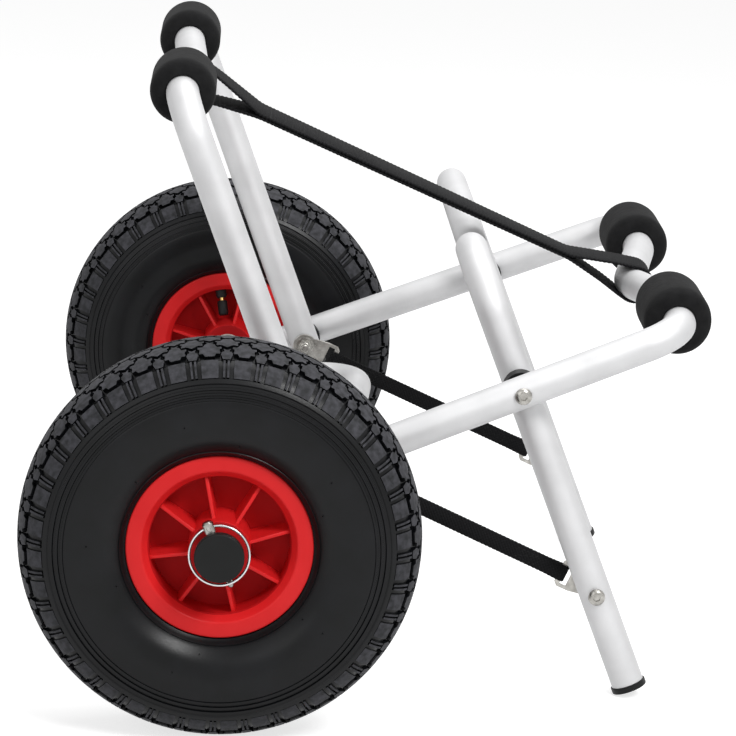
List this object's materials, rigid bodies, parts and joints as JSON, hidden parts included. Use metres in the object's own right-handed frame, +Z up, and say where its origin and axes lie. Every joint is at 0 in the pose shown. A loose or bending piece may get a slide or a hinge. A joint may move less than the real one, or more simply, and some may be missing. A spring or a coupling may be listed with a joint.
{
  "type": "kayak cart",
  "caption": "Folding kayak cart: pneumatic wheels on a through axle, bent tube frames with foam pads that hold a hull, a folding kickstand and webbing straps.",
  "frame": {"origin": "on the ground, on the symmetry plane, midway between the tyres' rearmost point and the main pads' foremost point", "axes": "+X is the way the cart is pulled, from the axle towards the main frame's crossbar; +Y is left, along the axle; +Z is up"},
  "size_m": [0.4524, 0.6942, 0.4162],
  "materials": {
    "tube": "satin, silver",
    "foam": "matt closed-cell foam, black",
    "webbing": "woven webbing, black",
    "tyre_rubber": "matt rubber, black",
    "inner_rubber": "smooth rubber, black",
    "rim_plastic": "half-gloss, red",
    "black_plastic": "matt, black",
    "bush_plastic": "matt, off-white",
    "zinc_steel": "zinc plated",
    "ring_steel": "bright spring wire"
  },
  "bodies": {
    "main_frame": {"main_frame_tube": "tube", "axle_brace_tube": "tube", "axle_rod": "zinc_steel", "main_pad_left": "foam", "main_pad_right": "foam", "main_plug_left": "black_plastic", "main_plug_right": "black_plastic", "axle_spacer_left": "black_plastic", "axle_spacer_right": "black_plastic", "hub_washer_left": "zinc_steel", "hub_washer_right": "zinc_steel", "linch_pin_left": "zinc_steel", "linch_pin_right": "zinc_steel", "axle_cap_left": "black_plastic", "axle_cap_right": "black_plastic", "support_pivot_bolt_left": "zinc_steel", "support_pivot_bolt_right": "zinc_steel", "support_pivot_nut_left": "zinc_steel", "support_pivot_nut_right": "zinc_steel", "support_pivot_washer_left": "zinc_steel", "support_pivot_washer_right": "zinc_steel", "support_saddle_left": "black_plastic", "support_saddle_right": "black_plastic", "pivot_anchor_left": "zinc_steel", "pivot_anchor_right": "zinc_steel", "kickstand_pivot_bolt_left": "zinc_steel", "kickstand_pivot_bolt_right": "zinc_steel", "kickstand_pivot_nut_left": "zinc_steel", "kickstand_pivot_nut_right": "zinc_steel", "kickstand_saddle_left": "black_plastic", "kickstand_saddle_right": "black_plastic", "cradle_strap": "webbing", "stay_strap_left": "webbing", "stay_strap_right": "webbing"},
    "support_frame": {"support_frame_tube": "tube", "support_pad_left": "foam", "support_pad_right": "foam", "support_plug_left": "black_plastic", "support_plug_right": "black_plastic"},
    "kickstand": {"kickstand_tube": "tube", "kickstand_foot_left": "black_plastic", "kickstand_foot_right": "black_plastic", "stay_bolt_left": "zinc_steel", "stay_bolt_right": "zinc_steel", "stay_nut_left": "zinc_steel", "stay_nut_right": "zinc_steel", "stay_anchor_left": "zinc_steel", "stay_anchor_right": "zinc_steel"},
    "wheel_left": {"tyre_left": "tyre_rubber", "inner_tube_left": "inner_rubber", "rim_left": "rim_plastic", "bush_outer_left": "bush_plastic", "bush_inner_left": "bush_plastic"},
    "wheel_right": {"tyre_right": "tyre_rubber", "inner_tube_right": "inner_rubber", "rim_right": "rim_plastic", "bush_outer_right": "bush_plastic", "bush_inner_right": "bush_plastic"},
    "ring_left": {"snap_ring_left": "ring_steel"},
    "ring_right": {"snap_ring_right": "ring_steel"}
  },
  "joints": [
    {"name": "support_fold", "type": "hinge", "parent": "main_frame", "child": "support_frame", "pos_m": [-0.03715, 0, 0.15449], "axis": [0, 1, 0], "range_deg": [0, 77], "deforming": ["cradle_strap"]},
    {"name": "kickstand_fold", "type": "hinge", "parent": "main_frame", "child": "kickstand", "pos_m": [0.09986, 0, 0.21124], "axis": [0, 1, 0], "range_deg": [0, 77], "deforming": ["stay_strap_left", "stay_strap_right"]},
    {"name": "wheel_left_spin", "type": "hinge", "parent": "main_frame", "child": "wheel_left", "pos_m": [-0.09628, 0.293, 0.13], "axis": [0, 1, 0], "continuous": true},
    {"name": "wheel_right_spin", "type": "hinge", "parent": "main_frame", "child": "wheel_right", "pos_m": [-0.09628, -0.293, 0.13], "axis": [0, 1, 0], "continuous": true},
    {"name": "snap_ring_left_swing", "type": "hinge", "parent": "main_frame", "child": "ring_left", "pos_m": [-0.10374, 0.3375, 0.14802], "axis": [0.9239, 0, 0.3827], "range_deg": [0, 100], "stiffness_Nm_per_rad": 0.002, "springref_deg": -11.46},
    {"name": "snap_ring_right_swing", "type": "hinge", "parent": "main_frame", "child": "ring_right", "pos_m": [-0.10374, -0.3375, 0.14802], "axis": [0.9239, 0, 0.3827], "range_deg": [-100, 0], "stiffness_Nm_per_rad": 0.002, "springref_deg": 11.46}
  ],
  "couplings": [
    {"joint": "kickstand_fold", "follows": "support_fold", "ratio": 1}
  ]
}
